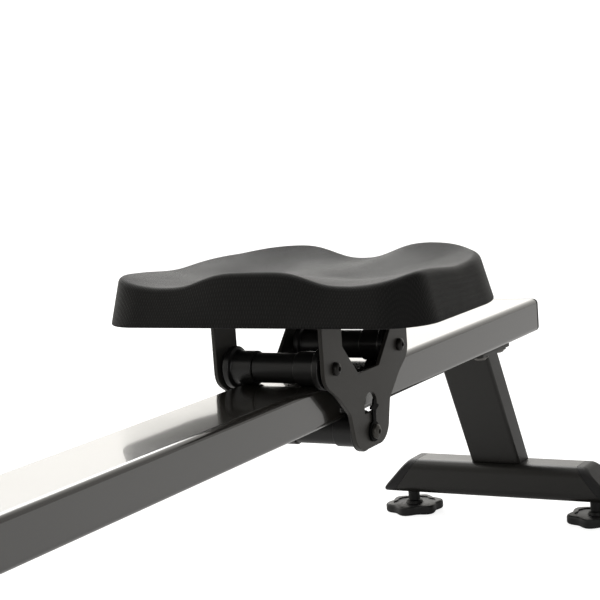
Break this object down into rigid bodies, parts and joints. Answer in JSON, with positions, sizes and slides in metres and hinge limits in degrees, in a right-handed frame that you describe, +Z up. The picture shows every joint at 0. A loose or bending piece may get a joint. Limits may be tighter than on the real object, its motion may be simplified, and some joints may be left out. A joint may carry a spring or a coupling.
{
  "type": "rowing machine",
  "caption": "Rowing machine: padded seat on a flanged-wheel carriage on a steel rail, leaning rear leg and stabiliser, housed flywheel drive, pull handle, strap footplates, tilting console.",
  "frame": {"origin": "on the floor under the middle of the machine's length and width", "axes": "+X rearwards along the rail, from the drive to the rear leg; +Y to the left when looking along +X; +Z up"},
  "size_m": [1.96, 0.484, 0.776],
  "materials": {
    "painted_steel": "satin dark grey powder coat",
    "plate_steel": "satin warm grey powder coat",
    "black_plastic": "fine moulded grain",
    "roller_plastic": "satin black polyurethane",
    "rubber": "matt",
    "zinc": "bright zinc",
    "dark_steel": "black oxide",
    "cast_iron": "turned rim",
    "grey_plastic": "fine moulded grain",
    "seat_foam": "pebbled matt skin of moulded polyurethane",
    "grip_foam": "foam",
    "webbing": "woven nylon",
    "lens": "clear cover over a dark display",
    "button": "smooth"
  },
  "bodies": {
    "frame": {"rail": "painted_steel", "rail_end_cap": "black_plastic", "rear_stop": "rubber", "front_stop": "rubber", "leg_mount_plate": "painted_steel", "leg_bolt_left": "zinc", "leg_bolt_right": "zinc", "rear_leg": "painted_steel", "rear_stabiliser": "painted_steel", "rear_cap_left": "black_plastic", "rear_cap_right": "black_plastic", "main_frame": "painted_steel", "front_stabiliser": "painted_steel", "front_foot_left": "black_plastic", "front_foot_right": "black_plastic", "console_mast": "painted_steel", "housing_left": "grey_plastic", "housing_right": "grey_plastic", "foot_axle": "zinc", "handle_rest": "black_plastic", "drive_belt": "rubber", "recoil_spring": "dark_steel"},
    "leveller_left": {"rear_leveller_left": "black_plastic"},
    "leveller_right": {"rear_leveller_right": "black_plastic"},
    "transport_left": {"transport_wheel_left": "rubber"},
    "transport_right": {"transport_wheel_right": "rubber"},
    "carriage": {"seat_pad": "seat_foam", "seat_base": "painted_steel", "carriage_plate_left": "plate_steel", "carriage_plate_right": "plate_steel", "front_axle_bolt": "dark_steel", "rear_axle_bolt": "dark_steel", "lower_axle_bolt": "dark_steel", "roller_tab": "dark_steel"},
    "front_wheels": {"front_wheel_left": "roller_plastic", "front_wheel_right": "roller_plastic", "front_spacer": "black_plastic"},
    "rear_wheels": {"rear_wheel_left": "roller_plastic", "rear_wheel_right": "roller_plastic", "rear_spacer": "black_plastic"},
    "lower_wheels": {"lower_wheel_left": "roller_plastic", "lower_wheel_right": "roller_plastic", "lower_spacer": "black_plastic"},
    "flywheel_set": {"flywheel": "cast_iron"},
    "pulley_set": {"drive_pulley": "black_plastic"},
    "drum_set": {"strap_drum": "black_plastic"},
    "brake": {"brake_arm": "zinc"},
    "knob": {"resistance_knob": "black_plastic"},
    "roller": {"guide_roller": "roller_plastic"},
    "handle": {"handle_bar": "dark_steel", "grip_left": "grip_foam", "grip_right": "grip_foam", "pull_strap": "webbing"},
    "console": {"console_body": "black_plastic", "console_lens": "lens"},
    "button": {"console_button": "button"},
    "pedal_left": {"footplate_left": "black_plastic", "foot_strap_left": "webbing"},
    "pedal_right": {"footplate_right": "black_plastic", "foot_strap_right": "webbing"}
  },
  "joints": [
    {"name": "seat_slide", "type": "slide", "parent": "frame", "child": "carriage", "axis": [1, 0, 0], "range_m": [-0.6, 0.298]},
    {"name": "front_wheel_spin", "type": "hinge", "parent": "carriage", "child": "front_wheels", "pos_m": [0.4126, 0, 0.2788], "axis": [0, 1, 0], "continuous": true},
    {"name": "rear_wheel_spin", "type": "hinge", "parent": "carriage", "child": "rear_wheels", "pos_m": [0.5474, 0, 0.2788], "axis": [0, 1, 0], "continuous": true},
    {"name": "lower_wheel_spin", "type": "hinge", "parent": "carriage", "child": "lower_wheels", "pos_m": [0.48, 0, 0.20695], "axis": [0, 1, 0], "continuous": true},
    {"name": "handle_pull", "type": "slide", "parent": "frame", "child": "handle", "axis": [1, 0, 0], "range_m": [0, 1.1], "stiffness_N_per_m": 8, "springref_m": -1.5, "deforming": ["pull_strap"]},
    {"name": "drum_spin", "type": "hinge", "parent": "frame", "child": "drum_set", "pos_m": [-0.575, 0, 0.382], "axis": [0, 1, 0], "continuous": true},
    {"name": "roller_spin", "type": "hinge", "parent": "frame", "child": "roller", "pos_m": [-0.505, 0, 0.4889], "axis": [0, 1, 0], "continuous": true},
    {"name": "flywheel_spin", "type": "hinge", "parent": "frame", "child": "flywheel_set", "pos_m": [-0.76, 0, 0.363], "axis": [0, 1, 0], "continuous": true},
    {"name": "pulley_spin", "type": "hinge", "parent": "frame", "child": "pulley_set", "pos_m": [-0.575, 0, 0.382], "axis": [0, 1, 0], "continuous": true},
    {"name": "knob_turn", "type": "hinge", "parent": "frame", "child": "knob", "pos_m": [-0.805, 0, 0.577], "axis": [0, 0, 1], "range_deg": [0, 270]},
    {"name": "brake_swing", "type": "hinge", "parent": "frame", "child": "brake", "pos_m": [-0.69449, 0, 0.50348], "axis": [0, 1, 0], "range_deg": [-3.5, 0]},
    {"name": "console_tilt", "type": "hinge", "parent": "frame", "child": "console", "pos_m": [-0.64, 0, 0.675], "axis": [0, 1, 0], "range_deg": [-20, 25]},
    {"name": "button_press", "type": "slide", "parent": "console", "child": "button", "axis": [-0.8829, 0, -0.4695], "range_m": [0, 0.0018], "stiffness_N_per_m": 400},
    {"name": "pedal_left_tilt", "type": "hinge", "parent": "frame", "child": "pedal_left", "pos_m": [-0.36, 0, 0.197], "axis": [0, 1, 0], "range_deg": [-15, 15]},
    {"name": "pedal_right_tilt", "type": "hinge", "parent": "frame", "child": "pedal_right", "pos_m": [-0.36, 0, 0.197], "axis": [0, 1, 0], "range_deg": [-15, 15]},
    {"name": "leveller_left_turn", "type": "hinge", "parent": "frame", "child": "leveller_left", "pos_m": [0.93491, 0.1193, 0], "axis": [0, 0, 1], "range_deg": [-360, 360]},
    {"name": "leveller_right_turn", "type": "hinge", "parent": "frame", "child": "leveller_right", "pos_m": [0.93491, -0.1193, 0], "axis": [0, 0, 1], "range_deg": [-360, 360]},
    {"name": "transport_left_spin", "type": "hinge", "parent": "frame", "child": "transport_left", "pos_m": [-0.948, 0.154, 0.036], "axis": [0, 1, 0], "continuous": true},
    {"name": "transport_right_spin", "type": "hinge", "parent": "frame", "child": "transport_right", "pos_m": [-0.948, -0.154, 0.036], "axis": [0, 1, 0], "continuous": true}
  ],
  "couplings": [
    {"joint": "front_wheel_spin", "follows": "seat_slide", "rad_per_m": 63.492},
    {"joint": "rear_wheel_spin", "follows": "seat_slide", "rad_per_m": 63.492},
    {"joint": "lower_wheel_spin", "follows": "seat_slide", "rad_per_m": -63.492},
    {"joint": "drum_spin", "follows": "handle_pull", "rad_per_m": 21.692},
    {"joint": "roller_spin", "follows": "handle_pull", "rad_per_m": 76.336},
    {"joint": "pulley_spin", "follows": "flywheel_spin", "ratio": 0.3143},
    {"joint": "brake_swing", "follows": "knob_turn", "ratio": -0.01296}
  ]
}
